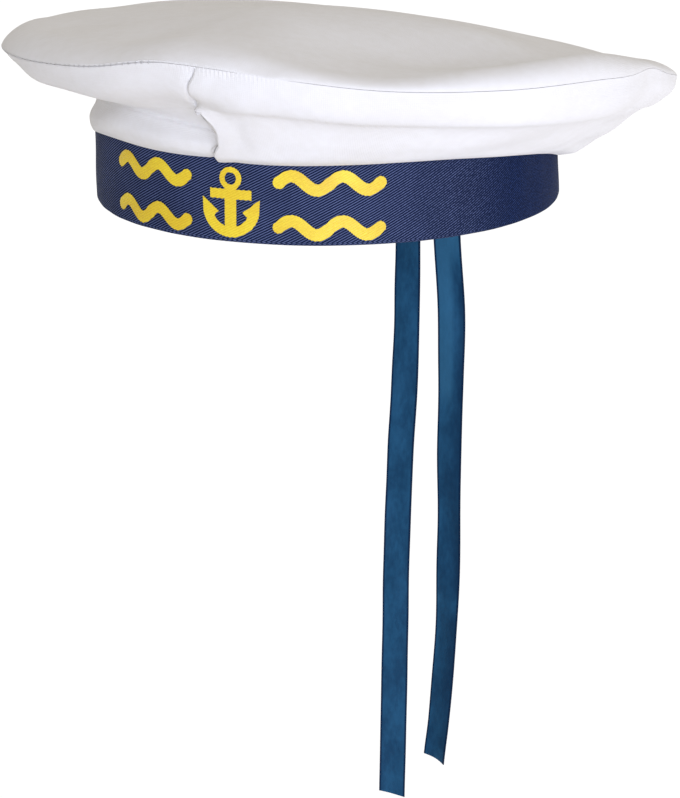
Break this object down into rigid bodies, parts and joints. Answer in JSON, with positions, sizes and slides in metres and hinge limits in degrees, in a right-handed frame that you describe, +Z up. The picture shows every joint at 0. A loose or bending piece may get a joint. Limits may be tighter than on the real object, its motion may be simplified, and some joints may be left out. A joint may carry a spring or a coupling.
{
  "type": "sailor cap",
  "caption": "Round soft white sailor's cap with a broad tilted crown, a navy twill band with a plain yellow anchor and wave print, and two long satin tails hanging at the back.",
  "frame": {"origin": "centre of the head opening, in the plane of the band's lower rim", "axes": "+Z up out of the crown, -Y towards the front of the cap, +X towards the wearer's left"},
  "size_m": [0.2535, 0.2584, 0.3883],
  "materials": {
    "white_cloth": "smooth matt white cloth",
    "navy_twill": "navy twill with fine diagonal lines",
    "blue_satin": "petrol-blue satin ribbon with a soft sheen",
    "yellow_print": "thin matt yellow printed film"
  },
  "bodies": {
    "root": {"top_panel": "white_cloth", "side_panel_left": "white_cloth", "side_panel_right": "white_cloth", "band": "navy_twill", "tail_right": "blue_satin", "tail_left": "blue_satin", "print_anchor": "yellow_print", "print_wave_right_upper": "yellow_print", "print_wave_right_lower": "yellow_print", "print_wave_left_upper": "yellow_print", "print_wave_left_lower": "yellow_print"}
  },
  "joints": []
}
